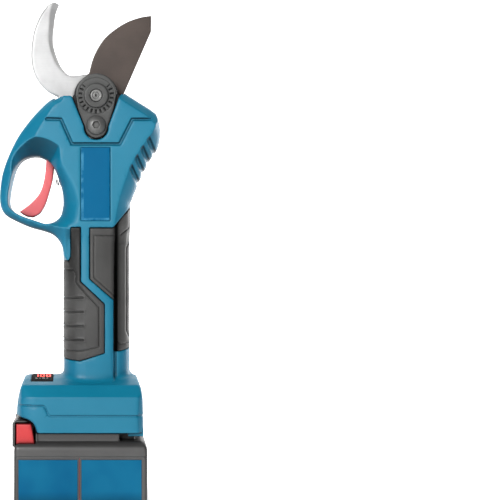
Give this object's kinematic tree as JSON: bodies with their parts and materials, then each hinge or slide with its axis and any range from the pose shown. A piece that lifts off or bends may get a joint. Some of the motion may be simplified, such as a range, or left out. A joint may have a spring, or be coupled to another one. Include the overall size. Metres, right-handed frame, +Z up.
{
  "type": "battery electric pruner",
  "caption": "Handheld battery electric pruner: fixed hook blade, powered swinging blade, trigger in a finger guard, gripped handle and a slide-in battery foot with a red latch.",
  "frame": {"origin": "middle of the battery pack's underside, at the middle of the object's box", "axes": "+Z up the handle to the blades, -X towards the trigger and the hook blade, -Y the tool's left side"},
  "size_m": [0.1199, 0.074, 0.373],
  "materials": {
    "blue_shell": "moulded nylon, fine satin texture",
    "blue_plate": "flat satin",
    "blue_label": "printed film, satin",
    "grip_rubber": "soft overmoulded rubber",
    "red_plastic": "satin",
    "black_plastic": "satin",
    "battery_plastic": "fine spark texture",
    "polished_steel": "ground and polished",
    "coated_blade": "dark non-stick coating",
    "black_steel": "blackened",
    "plate_metal": "dark phosphated, satin",
    "bolt_steel": "dull zinc",
    "dark_steel": "oiled black",
    "gear_steel": "ground",
    "bronze": "sintered",
    "aluminium_case": "bead blasted",
    "circuit_board": "solder mask",
    "wire_cover": "silicone",
    "display_black": "smoked window",
    "contact_brass": "bright",
    "cell_wrap": "shrink sleeve",
    "nickel": "bright"
  },
  "bodies": {
    "tool": {"housing_left": "blue_shell", "housing_right": "blue_shell", "front_grip_left": "grip_rubber", "front_grip_right": "grip_rubber", "rear_grip_left": "grip_rubber", "rear_grip_right": "grip_rubber", "nameplate_left": "blue_plate", "nameplate_right": "blue_plate", "housing_screws": "dark_steel", "fixed_blade": "polished_steel", "hook_screws": "dark_steel", "gear_case_front": "black_steel", "gear_case_back": "black_steel", "gear_case_screws": "dark_steel", "pivot_bolt": "bolt_steel", "pivot_washer": "bolt_steel", "pivot_bushing": "bronze", "pivot_nut": "plate_metal", "lock_plate": "plate_metal", "lock_screw": "bolt_steel", "pinion_bearing": "gear_steel", "ring_gear": "gear_steel", "gearbox_cover": "aluminium_case", "motor_case": "aluminium_case", "stator": "black_steel", "motor_bearing_lower": "gear_steel", "motor_bearing_upper": "gear_steel", "trigger_pin": "gear_steel", "trigger_switch": "black_plastic", "trigger_spring": "gear_steel", "control_board": "circuit_board", "board_transistors": "black_plastic", "board_capacitors": "aluminium_case", "motor_wires": "wire_cover", "display_module": "display_black", "terminal_block": "black_plastic", "terminal_blades": "contact_brass"},
    "moving_cutter": {"moving_blade": "coated_blade", "sector_gear": "gear_steel", "sector_screws": "dark_steel"},
    "pinion": {"bevel_pinion": "gear_steel", "planet_pins": "gear_steel"},
    "planet_a": {"planet_gear_1": "gear_steel"},
    "planet_b": {"planet_gear_2": "gear_steel"},
    "planet_c": {"planet_gear_3": "gear_steel"},
    "rotor": {"rotor_shaft": "gear_steel", "rotor_magnets": "black_steel"},
    "trigger_lever": {"trigger": "red_plastic"},
    "plunger": {"switch_plunger": "red_plastic"},
    "battery_pack": {"battery_case_lower": "battery_plastic", "battery_case_upper": "battery_plastic", "battery_labels": "blue_label", "battery_cells": "cell_wrap", "cell_strips": "nickel", "battery_board": "circuit_board", "battery_terminals": "contact_brass", "battery_screws": "dark_steel", "latch_spring": "gear_steel"},
    "latch": {"latch_button": "red_plastic"}
  },
  "joints": [
    {"name": "blade_pivot", "type": "hinge", "parent": "tool", "child": "moving_cutter", "pos_m": [0.0115, 0, 0.3], "axis": [0, -1, 0], "range_deg": [0, 56]},
    {"name": "pinion_spin", "type": "hinge", "parent": "tool", "child": "pinion", "pos_m": [0.0115, 0, 0.25], "axis": [0, 0, 1], "range_deg": [0, 224]},
    {"name": "planet_a_spin", "type": "hinge", "parent": "pinion", "child": "planet_a", "pos_m": [0.0205, 0, 0.236], "axis": [0, 0, 1], "range_deg": [-672, 0]},
    {"name": "planet_b_spin", "type": "hinge", "parent": "pinion", "child": "planet_b", "pos_m": [0.007, 0.00779, 0.236], "axis": [0, 0, 1], "range_deg": [-672, 0]},
    {"name": "planet_c_spin", "type": "hinge", "parent": "pinion", "child": "planet_c", "pos_m": [0.007, -0.00779, 0.236], "axis": [0, 0, 1], "range_deg": [-672, 0]},
    {"name": "rotor_spin", "type": "hinge", "parent": "tool", "child": "rotor", "pos_m": [0.0115, 0, 0.19], "axis": [0, 0, 1], "range_deg": [0, 896]},
    {"name": "trigger_pull", "type": "hinge", "parent": "tool", "child": "trigger_lever", "pos_m": [-0.021, 0, 0.262], "axis": [0, -1, 0], "range_deg": [0, 12], "stiffness_Nm_per_rad": 0.25, "springref_deg": -20.05, "deforming": ["trigger_spring"]},
    {"name": "plunger_slide", "type": "slide", "parent": "tool", "child": "plunger", "axis": [1, 0, 0], "range_m": [0, 0.0022]},
    {"name": "battery_slide", "type": "slide", "parent": "tool", "child": "battery_pack", "axis": [-1, 0, 0], "range_m": [0, 0.095]},
    {"name": "latch_press", "type": "slide", "parent": "battery_pack", "child": "latch", "axis": [0, 0, -1], "range_m": [0, 0.0035], "stiffness_N_per_m": 1200, "springref_m": -0.004, "deforming": ["latch_spring"]}
  ],
  "couplings": [
    {"joint": "pinion_spin", "follows": "blade_pivot", "ratio": 4},
    {"joint": "planet_a_spin", "follows": "blade_pivot", "ratio": -12},
    {"joint": "planet_b_spin", "follows": "blade_pivot", "ratio": -12},
    {"joint": "planet_c_spin", "follows": "blade_pivot", "ratio": -12},
    {"joint": "rotor_spin", "follows": "blade_pivot", "ratio": 16},
    {"joint": "plunger_slide", "follows": "trigger_pull", "m_per_rad": 0.0104}
  ]
}
